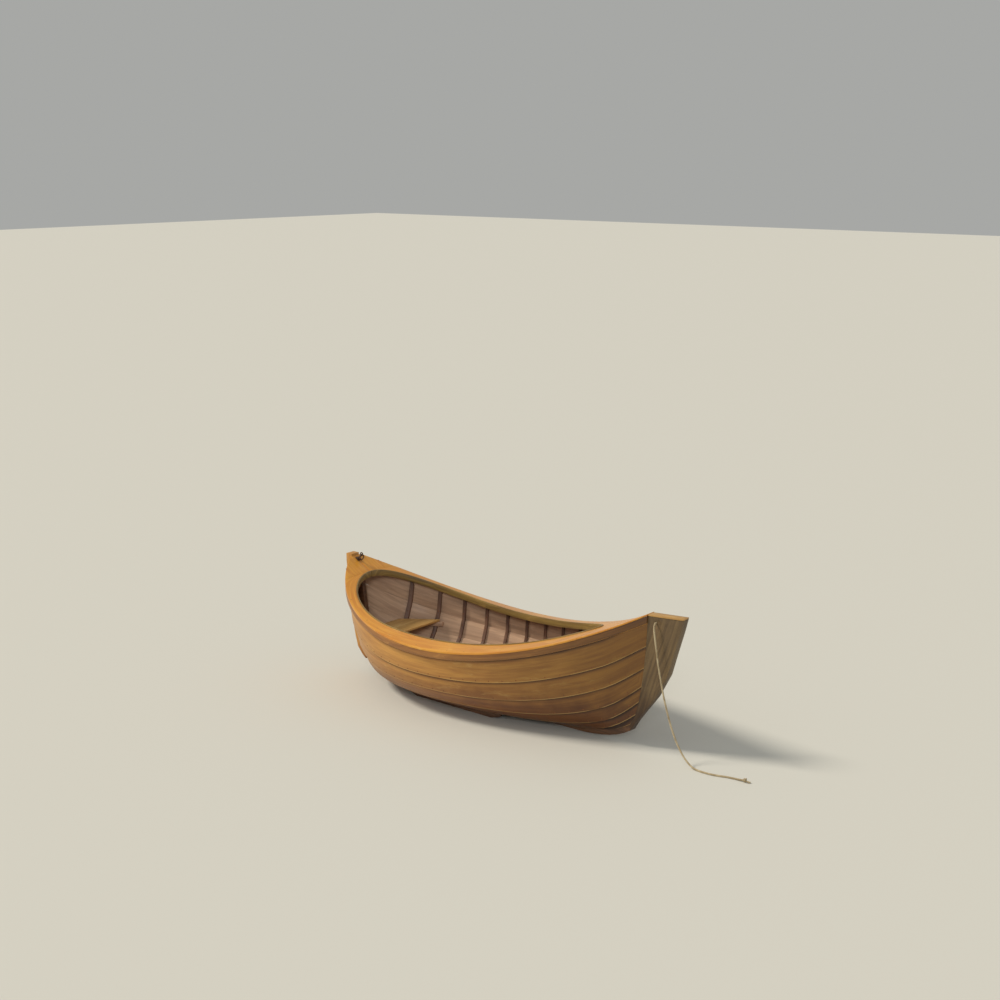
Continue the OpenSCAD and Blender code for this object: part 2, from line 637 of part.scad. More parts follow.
module painter_rope() {
    side = frames(0, [0, 0, 1]);
    color("silver")
    skin([for (i = [0:len(rope_line) - 1])
        let (u = side[i])
        let (w = cross(heading(i), u))
        [for (a = [0:45:315]) rope_line[i] + rope_r * (u * cos(a) + w * sin(a))]]);
}
knot_r = 12;
knot_h = 22;
module knot_body() {
    rotate_extrude($fn = 48) polygon([[0, 0], [knot_r - 4, 0], [knot_r, 5], [knot_r, knot_h - 6],
        [knot_r - 4, knot_h], [0, knot_h]]);
}
module painter_knot() {
    color("silver") translate(rope_start) rotate([-90, 0, 0]) knot_body();
}
module painter_end_knot() {
    color("silver") translate(route[len(route) - 1]) rotate([0, 90, 0]) knot_body();
}

keel();
hog();
bow_stem();
stem_cap();
bow_apron();
stern_post();
stern_apron();
strake(1, 1);  // port_strake_1
strake(2, 1);  // port_strake_2
strake(3, 1);  // port_strake_3
strake(4, 1);  // port_strake_4
strake(5, 1);  // port_strake_5
strake(6, 1);  // port_strake_6
strake(1, -1);  // starboard_strake_1
strake(2, -1);  // starboard_strake_2
strake(3, -1);  // starboard_strake_3
strake(4, -1);  // starboard_strake_4
strake(5, -1);  // starboard_strake_5
strake(6, -1);  // starboard_strake_6
bilge_keel(1);  // port_bilge_keel
bilge_keel(-1);  // starboard_bilge_keel
rub_rail(1);  // port_rub_rail
rub_rail(-1);  // starboard_rub_rail
rib(1);  // rib_1
rib(2);  // rib_2
rib(3);  // rib_3
rib(4);  // rib_4
rib(5);  // rib_5
rib(6);  // rib_6
rib(7);  // rib_7
rib(8);  // rib_8
rib(9);  // rib_9
rib(10);  // rib_10
beam_shelf(1);  // port_beam_shelf
beam_shelf(-1);  // starboard_beam_shelf
fore_deck(1);  // port_fore_deck
fore_deck(-1);  // starboard_fore_deck
side_deck(1);  // port_side_deck
side_deck(-1);  // starboard_side_deck
aft_deck(1);  // port_aft_deck
aft_deck(-1);  // starboard_aft_deck
coaming(1);  // port_coaming
coaming(-1);  // starboard_coaming
deck_beam(open_ends[1] + 5);  // fore_deck_beam
deck_beam(open_ends[0] - beam_w - 5);  // aft_deck_beam
floor_timber(1);  // floor_timber_1
floor_timber(2);  // floor_timber_2
floor_timber(3);  // floor_timber_3
board(-centre_half, centre_half);  // centre_board
board(side_board[0], side_board[1]);  // port_board
board(-side_board[1], -side_board[0]);  // starboard_board
stern_seat();
seat_cleats();
ring_bolt();
mooring_ring();
drain_socket();
drain_bung();
painter_rope();
painter_knot();
painter_end_knot();
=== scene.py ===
# %% [markdown]
# # A small decked clinker canoe
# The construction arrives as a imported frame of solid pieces, in metres: +X is the bow, +Y is
# port and the keel stands on z = 0. This lesson gives every piece its finish. Planks and decks
# get rounded arrises and grain that follows the wood, the rope gets real strands, and the
# copper rivets, nails and plugs that hold such a boat together are added.

# %% Load the frame
import json
from math import cos, pi, radians, sin

import bmesh
import bpy
from mathutils import Matrix, Vector
from mathutils.bvhtree import BVHTree

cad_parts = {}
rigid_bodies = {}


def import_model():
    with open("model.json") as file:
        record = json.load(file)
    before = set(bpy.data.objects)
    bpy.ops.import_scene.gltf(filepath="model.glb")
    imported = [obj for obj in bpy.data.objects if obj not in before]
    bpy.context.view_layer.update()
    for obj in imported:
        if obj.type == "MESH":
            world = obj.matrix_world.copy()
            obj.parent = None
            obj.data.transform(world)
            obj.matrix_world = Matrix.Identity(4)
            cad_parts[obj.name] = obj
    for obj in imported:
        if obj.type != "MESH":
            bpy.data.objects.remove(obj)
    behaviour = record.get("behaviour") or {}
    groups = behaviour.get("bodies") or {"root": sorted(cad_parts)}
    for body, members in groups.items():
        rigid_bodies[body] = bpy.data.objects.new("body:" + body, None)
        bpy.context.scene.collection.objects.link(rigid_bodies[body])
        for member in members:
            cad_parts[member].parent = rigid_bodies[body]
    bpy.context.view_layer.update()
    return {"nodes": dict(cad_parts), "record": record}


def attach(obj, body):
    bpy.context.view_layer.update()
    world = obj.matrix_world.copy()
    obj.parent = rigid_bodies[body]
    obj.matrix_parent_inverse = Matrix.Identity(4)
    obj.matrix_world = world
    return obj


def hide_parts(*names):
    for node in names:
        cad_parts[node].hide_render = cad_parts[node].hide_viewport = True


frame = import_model()
NODES = frame["nodes"]
HULL = "hull"
SIDES = (("port", 1), ("starboard", -1))
SLOT = {row["node"]: row["material_slot"] for row in frame["record"]["subparts"]}
scene = bpy.context.scene
print("pieces in the frame:", len(NODES))

# %% [markdown]
# ## Camera, light and floor
# The camera stands off the starboard bow, above the deck. One broad, slightly warm sun from
# the stern quarter models the planks, and a weak fill keeps the shaded bow readable. The floor
# is plain and pale, so the timber's own colours are what the picture shows.

# %% Camera
CAMERA_PLACE = (6.871, -8.201, 3.872)
CAMERA_TURN = (radians(77.5), 0, radians(40.1))
camera_data = bpy.data.cameras.new("camera")
camera_data.lens = 57.6
camera = bpy.data.objects.new("camera", camera_data)
camera.location, camera.rotation_euler = CAMERA_PLACE, CAMERA_TURN
scene.collection.objects.link(camera)
scene.camera = camera
scene.view_settings.view_transform = "Standard"


# %% Lamps and world
SUN_SOFTNESS = radians(14)


def sun(name, direction, strength, colour):
    """A broad soft sun that shines along direction, so the floor is lit evenly."""
    data = bpy.data.lights.new(name, "SUN")
    data.angle, data.energy, data.color = SUN_SOFTNESS, strength, colour
    obj = bpy.data.objects.new(name, data)
    obj.rotation_euler = Vector(direction).to_track_quat("-Z", "Y").to_euler()
    scene.collection.objects.link(obj)


sun("key", (4.5, 3.0, -5.5), 2.3, (1, 0.93, 0.82))
sun("fill", (-5.0, 6.5, -4.0), 0.55, (0.92, 0.96, 1))

world = bpy.data.worlds.new("room")
world.use_nodes = True
scene.world = world
WORLD_TONE = (0.92, 0.93, 0.9, 1)
world.node_tree.nodes["Background"].inputs["Color"].default_value = WORLD_TONE
world.node_tree.nodes["Background"].inputs["Strength"].default_value = 0.42


# %% Floor
def srgb(red, green, blue):
    """A colour given as 0 to 255 on screen, as the linear value that a shader wants."""
    return tuple(((c / 255 + 0.055) / 1.055) ** 2.4 for c in (red, green, blue)) + (1,)


FLOOR_SIZE = 60
floor_mesh = bpy.data.meshes.new("floor")
bm = bmesh.new()
bmesh.ops.create_grid(bm, x_segments=1, y_segments=1, size=FLOOR_SIZE)
bm.to_mesh(floor_mesh)
bm.free()
floor = bpy.data.objects.new("floor", floor_mesh)
scene.collection.objects.link(floor)
floor_look = bpy.data.materials.new("floor")
floor_look.use_nodes = True
floor_look.node_tree.nodes["Principled BSDF"].inputs["Base Color"].default_value = srgb(214, 212, 203)
floor_look.node_tree.nodes["Principled BSDF"].inputs["Roughness"].default_value = 0.9
floor_mesh.materials.append(floor_look)
print("camera, lamps and floor are set")

# %% [markdown]
# ## Small helpers for shader nodes
# Materials here are built from a few kinds of node over and over, so each kind gets a short
# function: one adds a node and sets its inputs, the others return the socket that comes out.


# %% Node helpers
def link(tree, source, target):
    """Join an output socket to an input socket."""
    tree.links.new(source, target)


def add(tree, kind, **values):
    """A node with the named inputs set; an input that is given a socket is linked to it."""
    node = tree.nodes.new(kind)
    for key, value in values.items():
        name = key.replace("_", " ")
        if hasattr(node, key) and name not in node.inputs:
            setattr(node, key, value)
        elif isinstance(value, bpy.types.NodeSocket):
            link(tree, value, node.inputs[name])
        else:
            node.inputs[name].default_value = value
    return node


def ramp(tree, source, low, high):
    """0 under low and 1 over high, with a smooth step between."""
    node = tree.nodes.new("ShaderNodeMapRange")
    node.interpolation_type = "SMOOTHSTEP"
    node.inputs["From Min"].default_value, node.inputs["From Max"].default_value = low, high
    link(tree, source, node.inputs["Value"])
    return node.outputs["Result"]


def maths(tree, operation, first, second):
    """One sum on two values or sockets."""
    node = tree.nodes.new("ShaderNodeMath")
    node.operation = operation
    for socket, value in zip(node.inputs, (first, second)):
        if isinstance(value, bpy.types.NodeSocket):
            link(tree, value, socket)
        else:
            socket.default_value = value
    return node.outputs[0]


def mixed(tree, factor, first, second, blend="MIX"):
    """Two colours mixed by factor. The mix node keeps its colour sockets at 6, 7 and out 2."""
    node = tree.nodes.new("ShaderNodeMix")
    node.data_type, node.blend_type = "RGBA", blend
    sockets = node.inputs[0], node.inputs[6], node.inputs[7]
    for socket, value in zip(sockets, (factor, first, second)):
        if isinstance(value, bpy.types.NodeSocket):
            link(tree, value, socket)
        else:
            socket.default_value = value
    return node.outputs[2]


def new_group(name, inputs, outputs):
    """An empty shader node group with named sockets, and its input and output nodes."""
    group = bpy.data.node_groups.new(name, "ShaderNodeTree")
    for direction, sockets in (("INPUT", inputs), ("OUTPUT", outputs)):
        for label, kind, value in sockets:
            socket = group.interface.new_socket(label, in_out=direction, socket_type=kind)
            if value is not None:
                socket.default_value = value
    return group, group.nodes.new("NodeGroupInput"), group.nodes.new("NodeGroupOutput")


# %% [markdown]
# ## The painter rope
# The mooring rope comes first, because its route decides how much room the scene needs. It is
# limp three-strand rope, 12 mm thick: knotted on the port side of the stem, drawn through a hole,
# and hanging down on the starboard side to the floor, where it runs out and ends in a knot. A
# ring with three lobes is repeated along the route in short steps, turned a little at each and
# joined to the one before, so the lobes wind into strands. One closed tube with grooves is
# lighter than three, and reads the same. Its UV map runs along the rope and around it, turning
# with the strands.

# %% Route
ROUTE_MM = [
    (1300, 30.3, 884.3), (1300, 20, 885), (1300, 0, 885), (1300, -20, 885), (1300, -34, 885),
    (1301, -48, 880), (1303, -58, 867), (1306, -62, 845), (1311, -64, 815), (1325, -66, 740),
    (1350, -70, 615), (1377, -74, 510), (1405, -78, 410), (1455, -84, 270), (1505, -90, 165),
    (1555, -96, 92), (1605, -102, 42), (1655, -108, 14), (1705, -112, 7), (1755, -114, 7),
    (1805, -110, 7), (1850, -98, 7), (1895, -84, 7), (1940, -76, 7), (1980, -74, 9), (2010, -74, 12)]
ROPE_THICK = 0.012
ROPE_STEP = 0.003


def smooth_route(corners, step):
    """Points a step apart along a Catmull-Rom curve through the corners."""
    line, last = [], len(corners) - 1
    for i in range(last):
        a, b = corners[max(0, i - 1)], corners[i]
        c, d = corners[i + 1], corners[min(last, i + 2)]
        parts = max(1, round((c - b).length / step))
        for k in range(parts):
            s = k / parts
            line.append(0.5 * (2 * b + (c - a) * s + (2 * a - 5 * b + 4 * c - d) * s ** 2
                               + (3 * b - a - 3 * c + d) * s ** 3))
    return line + [corners[-1]]


rope_line = smooth_route([Vector(p) / 1000 for p in ROUTE_MM], ROPE_STEP)

# %% Rope material
rope_look = bpy.data.materials.new("rope_fibre")
rope_look.use_nodes = True
tree = rope_look.node_tree
shader = tree.nodes["Principled BSDF"]
wound = add(tree, "ShaderNodeSeparateXYZ", Vector=tree.nodes.new("ShaderNodeTexCoord").outputs["UV"])
YARNS_PER_METRE, YARN_SLOPE, STRANDS = 420, 9, 3
lay = maths(tree, "ADD", maths(tree, "MULTIPLY", wound.outputs["X"], YARNS_PER_METRE),
            maths(tree, "MULTIPLY", wound.outputs["Y"], YARN_SLOPE))
yarn = maths(tree, "ABSOLUTE", maths(tree, "SINE", maths(tree, "MULTIPLY", lay, pi), 0), 0)
around_rope = maths(tree, "MULTIPLY", wound.outputs["Y"], STRANDS * pi)
groove = maths(tree, "ABSOLUTE", maths(tree, "COSINE", around_rope, 0), 0)
soiled = add(tree, "ShaderNodeTexNoise", Scale=22.0, Detail=5.0,
             Vector=tree.nodes.new("ShaderNodeTexCoord").outputs["Object"]).outputs["Fac"]
tone = mixed(tree, ramp(tree, soiled, 0.35, 0.7), srgb(204, 186, 150), srgb(160, 140, 106))
# Painted shade: the rope is darker between its yarns, and darker still in the grooves between strands.
tone = mixed(tree, maths(tree, "MULTIPLY", ramp(tree, yarn, 0.5, 0.0), 0.45), tone, srgb(112, 92, 64))
tone = mixed(tree, maths(tree, "MULTIPLY", ramp(tree, groove, 0.4, 0.0), 0.7), tone, srgb(84, 68, 48))
link(tree, tone, shader.inputs["Base Color"])
shader.inputs["Roughness"].default_value = 0.92
relief = add(tree, "ShaderNodeBump", Strength=0.6, Distance=0.0006, Height=yarn)
link(tree, relief.outputs[0], shader.inputs["Normal"])

# %% Laid rope
RING, GROOVE_DEPTH, GROOVE_SHARPNESS, TURN_LENGTH = 24, 0.16, 0.7, 0.042


def laid_rope(name, line, radius, look=rope_look):
    """A three-strand rope along a line of points, as one closed tube."""
    bm = bmesh.new()
    wrap = bm.loops.layers.uv.new("wrap")
    heading = (line[1] - line[0]).normalized()
    side, run, rings, lengths = heading.orthogonal().normalized(), 0.0, [], []
    for i, point in enumerate(line):
        heading = (line[min(i + 1, len(line) - 1)] - line[max(i - 1, 0)]).normalized()
        side = (side - heading * side.dot(heading)).normalized()
        run += (point - line[i - 1]).length if i else 0.0
        ring = []
        for k in range(RING):
            angle = 2 * pi * k / RING
            lobe = 1 - GROOVE_DEPTH * (1 - abs(cos(STRANDS * angle / 2)) ** GROOVE_SHARPNESS)
            turned = angle + 2 * pi * run / TURN_LENGTH
            ring.append(bm.verts.new(
                point + radius * lobe * (side * cos(turned) + heading.cross(side) * sin(turned))))
        rings.append(ring)
        lengths.append(run)

    def face(corners, smooth):
        """Add a face through corners, each given as its ring and its step around."""
        made = bm.faces.new([rings[i][k % RING] for i, k in corners])
        made.smooth = smooth
        for loop, (i, k) in zip(made.loops, corners):
            loop[wrap].uv = (lengths[i], k / RING)

    last = len(line) - 1
    for i in range(last):
        for k in range(RING):
            face([(i, k + 1), (i + 1, k + 1), (i + 1, k), (i, k)], True)
    face([(0, k) for k in reversed(range(RING))], False)
    face([(last, k) for k in range(RING)], False)
    mesh = bpy.data.meshes.new(name)
    bm.to_mesh(mesh)
    bm.free()
    mesh.materials.append(look)
    obj = bpy.data.objects.new(name, mesh)
    scene.collection.objects.link(obj)
    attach(obj, HULL)
    return obj


# %% Overhand knots
KNOT_SCALE, KNOT_DEPTH, KNOT_STEPS, KNOT_ROPE = 0.0034, 0.0044, 96, 0.0054


def knot_line(middle, axis, turn=0.0):
    """The closed line of an overhand knot around an axis."""
    place = Matrix.Translation(middle) @ axis.to_track_quat("Z", "Y").to_matrix().to_4x4()
    line = []
    for k in range(KNOT_STEPS + 1):
        t = 2 * pi * k / KNOT_STEPS + turn
        line.append(place @ Vector((KNOT_SCALE * (sin(t) + 2 * sin(2 * t)),
                                    KNOT_SCALE * (cos(t) - 2 * cos(2 * t)), -KNOT_DEPTH * sin(3 * t))))
    return line


STOPPER_MIDDLE, END_MIDDLE = Vector((1.3, 0.0412, 0.8843)), Vector((2.021, -0.074, 0.0162))
stopper = laid_rope("painter_stopper_knot", knot_line(STOPPER_MIDDLE, Vector((0, 1, 0))), KNOT_ROPE)
end_knot = laid_rope("painter_tail_knot", knot_line(END_MIDDLE, Vector((1, 0, 0)), 0.6), KNOT_ROPE)
tail_line = smooth_route([Vector(p) for p in ((2.024, -0.074, 0.012), (2.034, -0.0735, 0.0105),
                                              (2.044, -0.0715, 0.0075), (2.056, -0.067, 0.0062))], ROPE_STEP)
tail = laid_rope("painter_tail", tail_line, KNOT_ROPE)
rope = laid_rope("painter", rope_line, ROPE_THICK / 2)
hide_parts("painter_rope")
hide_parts("painter_knot")
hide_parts("painter_end_knot")
print("rope faces:", len(rope.data.polygons), "knot faces:", len(end_knot.data.polygons))


# %% [markdown]
# ## Timber
# Every wooden piece shares one pattern: long pale and dark streaks that run with the wood, fine
# fibres and pores among them, broad uneven bands of tone, and patches where the varnish has worn.
# It is a node group, so each wood sets only its colours. The pattern's X always runs along the
# grain: a piece either has a UV map measured along its own curve, or its object coordinates
# are turned until the grain lies on X.

# %% The timber group
COLOUR, FLOAT, VECTOR = "NodeSocketColor", "NodeSocketFloat", "NodeSocketVector"
timber, t_in, t_out = new_group(
    "timber",
    [("Vector", VECTOR, None), ("Light", COLOUR, srgb(200, 150, 80)),
     ("Dark", COLOUR, srgb(120, 80, 40)), ("Worn", COLOUR, srgb(220, 190, 140)),
     ("Wear", FLOAT, 0.3), ("Seed", FLOAT, 0.0)],
    [("Color", COLOUR, None), ("Height", FLOAT, None), ("Roughness", FLOAT, None)])


def noise_of(scale, stretch, detail, rough=0.55, warp=0.0):
    """Noise on the group's vector, stretched along X by making X count for less."""
    shift = add(timber, "ShaderNodeCombineXYZ", Z=t_in.outputs["Seed"])
    moved = add(timber, "ShaderNodeVectorMath", operation="ADD")
    link(timber, t_in.outputs["Vector"], moved.inputs[0])
    link(timber, shift.outputs[0], moved.inputs[1])
    scaled = add(timber, "ShaderNodeMapping", Vector=moved.outputs[0], Scale=(1 / stretch, 1, 1))
    node = add(timber, "ShaderNodeTexNoise", Vector=scaled.outputs[0], Scale=scale,
               Detail=detail, Roughness=rough, Distortion=warp)
    return node.outputs["Fac"]


streaks = ramp(timber, noise_of(34, 14, 5, 0.6, 0.35), 0.34, 0.68)
fibres = noise_of(260, 30, 3)
broad = ramp(timber, noise_of(3.2, 2.5, 3), 0.36, 0.66)
pores = ramp(timber, noise_of(520, 12, 2), 0.6, 0.72)
brush = ramp(timber, noise_of(11, 5, 4, 0.6, 0.8), 0.4, 0.62)
tone = mixed(timber, streaks, t_in.outputs["Dark"], t_in.outputs["Light"])
tone = mixed(timber, maths(timber, "MULTIPLY", broad, 0.35), tone, t_in.outputs["Dark"])
tone = mixed(timber, maths(timber, "MULTIPLY", brush, 0.22), tone, t_in.outputs["Light"])
FIBRE_TONE = (0.05, 0.025, 0.01, 1)
tone = mixed(timber, maths(timber, "MULTIPLY", fibres, 0.3), tone, FIBRE_TONE, "MULTIPLY")
worn = maths(timber, "MULTIPLY", ramp(timber, noise_of(17, 3, 6, 0.7, 0.6), 0.56, 0.7),
             t_in.outputs["Wear"])
tone = mixed(timber, worn, tone, t_in.outputs["Worn"])
height = maths(timber, "ADD", maths(timber, "MULTIPLY", streaks, 0.5),
               maths(timber, "MULTIPLY", fibres, 0.5))
height = maths(timber, "SUBTRACT", height, maths(timber, "MULTIPLY", pores, 0.4))
link(timber, tone, t_out.inputs["Color"])
link(timber, height, t_out.inputs["Height"])
VARNISH_ROUGHNESS, WORN_ROUGHNESS = 0.42, 0.4
dullness = maths(timber, "ADD", VARNISH_ROUGHNESS, maths(timber, "MULTIPLY", worn, WORN_ROUGHNESS))
link(timber, dullness, t_out.inputs["Roughness"])
print("timber group has", len(timber.nodes), "nodes")

# %% [markdown]
# ## Age and painted shade
# Use, damp and painted shade leave the same marks on every wood, so they are a second group, and
# each material sets how strong each mark is. A painted shade darkens the timber towards the bow,
# the side turned from the light. Damp has darkened the lowest timber, with a ragged upper limit
# that rises towards the bow. A plank's lower edge is painted pale, partly wear and partly a painted
# highlight, and a painted shadow darkens the strip under each lap. The last two need to know how
# far a point is from the piece's lower and upper edge, which the mesh stores in metres as two
# attributes.


# %% The age and shade group
def noise_at(tree, vector, scale, detail=4.0):
    """Plain noise at a scale, as one value."""
    return add(tree, "ShaderNodeTexNoise", Vector=vector, Scale=scale, Detail=detail).outputs["Fac"]


age_and_shade, a_in, a_out = new_group(
    "age_and_shade",
    [("Color", COLOUR, None), ("Roughness", FLOAT, 0.5), ("Place", VECTOR, None),
     ("From Low", FLOAT, 0.0), ("From High", FLOAT, 0.0), ("Pale", COLOUR, None),
     ("Bow Shade", FLOAT, 0.0), ("Damp", FLOAT, 0.0), ("Edge", FLOAT, 0.0), ("Lap Shadow", FLOAT, 0.0)],
    [("Color", COLOUR, None), ("Roughness", FLOAT, None)])
# The first tone is a painted shade towards the bow, the side turned from the light; the third is a painted
# shadow under each lap.
BOW_SHADE, DAMP, LAP_SHADOW_TONE = srgb(168, 160, 122), srgb(162, 128, 100), srgb(96, 70, 48)
BOW_SHADE_FROM, BOW_SHADE_TO, BOW_SHADE_RAGGED = -0.3, 1.5, 0.5
DAMP_LEVEL, DAMP_RAGGED, DAMP_RISE = 0.26, 0.22, 0.07
# These set the pale lower edge, partly wear and partly a painted highlight.
RUBBED_LIT_WIDTH, RUBBED_LIT_CORE = 0.008, 0.001
# These set the strip of painted shadow under each lap.
LAP_SHADOW_WIDTH, LAP_SHADOW_CORE, LAP_SHADOW_RAGGED = 0.034, 0.006, 0.008
ragged = noise_at(age_and_shade, a_in.outputs["Place"], 6.0, 6.0)
spot = add(age_and_shade, "ShaderNodeSeparateXYZ", Vector=a_in.outputs["Place"])

# Painted shade: the timber darkens towards the bow, as if turned from the light.
reach = maths(age_and_shade, "ADD", spot.outputs["X"], maths(age_and_shade, "MULTIPLY", ragged, BOW_SHADE_RAGGED))
bow_shaded = maths(age_and_shade, "MULTIPLY", ramp(age_and_shade, reach, BOW_SHADE_FROM, BOW_SHADE_TO), a_in.outputs["Bow Shade"])
aged_and_shaded = mixed(age_and_shade, bow_shaded, a_in.outputs["Color"], BOW_SHADE, "MULTIPLY")

level = maths(age_and_shade, "SUBTRACT", spot.outputs["Z"], maths(age_and_shade, "MULTIPLY", ragged, DAMP_RAGGED))
level = maths(age_and_shade, "SUBTRACT", level, maths(age_and_shade, "MULTIPLY", spot.outputs["X"], DAMP_RISE))
damp = maths(age_and_shade, "MULTIPLY", ramp(age_and_shade, level, DAMP_LEVEL, 0.0), a_in.outputs["Damp"])
aged_and_shaded = mixed(age_and_shade, damp, aged_and_shaded, DAMP, "MULTIPLY")

# The lower edge is painted pale: partly wear, partly a painted highlight on the lap's edge.
rubbed_and_lit = maths(age_and_shade, "MULTIPLY", ramp(age_and_shade, a_in.outputs["From Low"], RUBBED_LIT_WIDTH, RUBBED_LIT_CORE),
               a_in.outputs["Edge"])
rubbed_and_lit = maths(age_and_shade, "MULTIPLY", rubbed_and_lit, ramp(age_and_shade, ragged, 0.3, 0.55))
aged_and_shaded = mixed(age_and_shade, rubbed_and_lit, aged_and_shaded, a_in.outputs["Pale"])

# Painted shadow: a dark, slightly rougher strip under each lap, where the plank above shades it.
patchy = maths(age_and_shade, "ADD", a_in.outputs["From High"], maths(age_and_shade, "MULTIPLY", ragged, LAP_SHADOW_RAGGED))
lap_shadow = maths(age_and_shade, "MULTIPLY", ramp(age_and_shade, patchy, LAP_SHADOW_WIDTH, LAP_SHADOW_CORE), a_in.outputs["Lap Shadow"])
link(age_and_shade, mixed(age_and_shade, lap_shadow, aged_and_shaded, LAP_SHADOW_TONE, "MULTIPLY"), a_out.inputs["Color"])
link(age_and_shade, maths(age_and_shade, "ADD", a_in.outputs["Roughness"], maths(age_and_shade, "MULTIPLY", lap_shadow, 0.2)),
     a_out.inputs["Roughness"])
print("ageing group has", len(age_and_shade.nodes), "nodes")

# %% [markdown]
# ## From a wood to a material
# A material picks its tones, how worn it is, how glossy, and how much age and painted shade it
# shows. Planks carry two looks on one piece: varnish outside and bare, greyed wood inside. The mesh
# marks each face with an attribute called inside, and the material blends on it.


# %% Timber materials
def wood_node(tree, vector, tones, wear, seed):
    """The timber group in a material, with its three tones set."""
    group = add(tree, "ShaderNodeGroup", node_tree=timber)
    link(tree, vector, group.inputs["Vector"])
    for label, value in zip(("Light", "Dark", "Worn"), tones):
        group.inputs[label].default_value = value
    group.inputs["Wear"].default_value, group.inputs["Seed"].default_value = wear, seed
    return group


def attribute(tree, name):
    """A mesh attribute as one value."""
    return add(tree, "ShaderNodeAttribute", attribute_name=name).outputs["Fac"]


def age_shade_node(tree, colour, roughness, place, pale, marks):
    """The age and shade group in a material. marks gives the strength of each mark by its name."""
    group = add(tree, "ShaderNodeGroup", node_tree=age_and_shade)
    for label, source in (("Color", colour), ("Roughness", roughness), ("Place", place),
                          ("From Low", attribute(tree, "from_low")),
                          ("From High", attribute(tree, "from_high"))):
        link(tree, source, group.inputs[label])
    group.inputs["Pale"].default_value = pale
    for label, strength in marks.items():
        group.inputs[label].default_value = strength
    return group


def timber_look(name, tones, wear=0.3, rough=0.0, coat=0.0, bump=0.25, turn=None, seed=0.0,
                inner=None, marks=None):
    """A wooden material. turn lays the grain of a piece with no UV map on its X axis."""
    material = bpy.data.materials.new(name)
    material.use_nodes = True
    tree = material.node_tree
    shader = tree.nodes["Principled BSDF"]
    place = tree.nodes.new("ShaderNodeTexCoord")
    vector = place.outputs["UV"]
    if turn is not None:
        vector = add(tree, "ShaderNodeMapping", Vector=place.outputs["Object"], Rotation=turn).outputs[0]
    group = wood_node(tree, vector, tones, wear, seed)
    colour, roughness = group.outputs["Color"], maths(tree, "ADD", group.outputs["Roughness"], rough)
    if marks:
        aged_shaded_wood = age_shade_node(tree, colour, roughness, place.outputs["Object"], tones[2], marks)
        colour, roughness = aged_shaded_wood.outputs["Color"], aged_shaded_wood.outputs["Roughness"]
    if inner:
        bare = wood_node(tree, vector, inner, 0.25, seed + 5)
        side = attribute(tree, "inside")
        colour = mixed(tree, side, colour, bare.outputs["Color"])
        roughness = maths(tree, "ADD", roughness, maths(tree, "MULTIPLY", side, 0.25))
    link(tree, colour, shader.inputs["Base Color"])
    link(tree, roughness, shader.inputs["Roughness"])
    shader.inputs["Coat Weight"].default_value = coat
    shader.inputs["Coat Roughness"].default_value = 0.25
    relief = add(tree, "ShaderNodeBump", Strength=bump, Distance=0.0012, Height=group.outputs["Height"])
    link(tree, relief.outputs[0], shader.inputs["Normal"])
    return material


# %% Tones and woods
GOLD = (srgb(244, 175, 64), srgb(220, 141, 44), srgb(250, 206, 118))
HONEY = (srgb(222, 162, 78), srgb(186, 126, 58), srgb(236, 196, 122))
BROWN = (srgb(192, 132, 64), srgb(142, 92, 46), srgb(232, 170, 92))
OLIVE = (srgb(174, 142, 78), srgb(124, 98, 54), srgb(216, 172, 96))
# The stem's tone is darker than its wood: a painted shade for the bow's side, which is turned from the
# light.
SHADED_CHEEK = (srgb(128, 104, 68), srgb(90, 70, 46), srgb(170, 138, 92))
PALE = (srgb(214, 170, 100), srgb(176, 130, 70), srgb(244, 204, 138))
# The bare inside tone is the weathered wood's own pinkish grey, lifted lighter as painted light where the
# hull's sides shade the inside.
LIT_MAUVE = (srgb(220, 182, 148), srgb(184, 148, 120), srgb(232, 202, 170))
DARK = (srgb(134, 98, 76), srgb(96, 68, 52), srgb(160, 126, 100))
KEEL = (srgb(130, 90, 60), srgb(84, 56, 38), srgb(156, 120, 86))
BOARD = (srgb(164, 130, 98), srgb(122, 94, 70), srgb(186, 158, 126))
# The seat tone is lifted above the wood's own colour: painted light where the coaming shades the seat.
LIT_THWART = (srgb(244, 196, 120), srgb(212, 162, 92), srgb(250, 218, 156))
UPRIGHT, ACROSS, ALONG = (0, radians(90), 0), (0, 0, radians(90)), (0, 0, 0)
RAKED = (0, radians(72), 0)

LOOKS = {
    "deck_paint": timber_look("deck_varnish", GOLD, wear=0.28, rough=-0.06, coat=0.3, bump=0.3),
    # The rail shares the painted shade towards the bow and the pale edge that is partly a painted highlight.
    "rail_paint": timber_look("rail_varnish", BROWN, wear=0.35, rough=-0.02, coat=0.2,
                              marks={"Bow Shade": 1, "Edge": 0.5}),
    "coaming_paint": timber_look("coaming", OLIVE, coat=0.1),
    "stem_timber": timber_look("stem", SHADED_CHEEK, wear=0.2, rough=0.08, coat=0.05, bump=0.7, turn=RAKED,
                               marks={"Damp": 0.85}),
    "post_timber": timber_look("post", HONEY, turn=UPRIGHT, marks={"Damp": 0.85}),
    "cap_timber": timber_look("cap", PALE, wear=0.4, turn=ALONG),
    "backbone": timber_look("backbone", KEEL, rough=0.1, turn=ALONG),
    "frame_timber": timber_look("frame_timber", LIT_MAUVE, rough=0.1, turn=ALONG),
    "rib_timber": timber_look("rib", DARK, rough=0.1, turn=UPRIGHT),
    "floor_board": timber_look("floor_board", BOARD, wear=0.5, rough=0.15, turn=ALONG),
    "seat_board": timber_look("seat", LIT_THWART, wear=0.45, rough=0.1, turn=ACROSS),
}
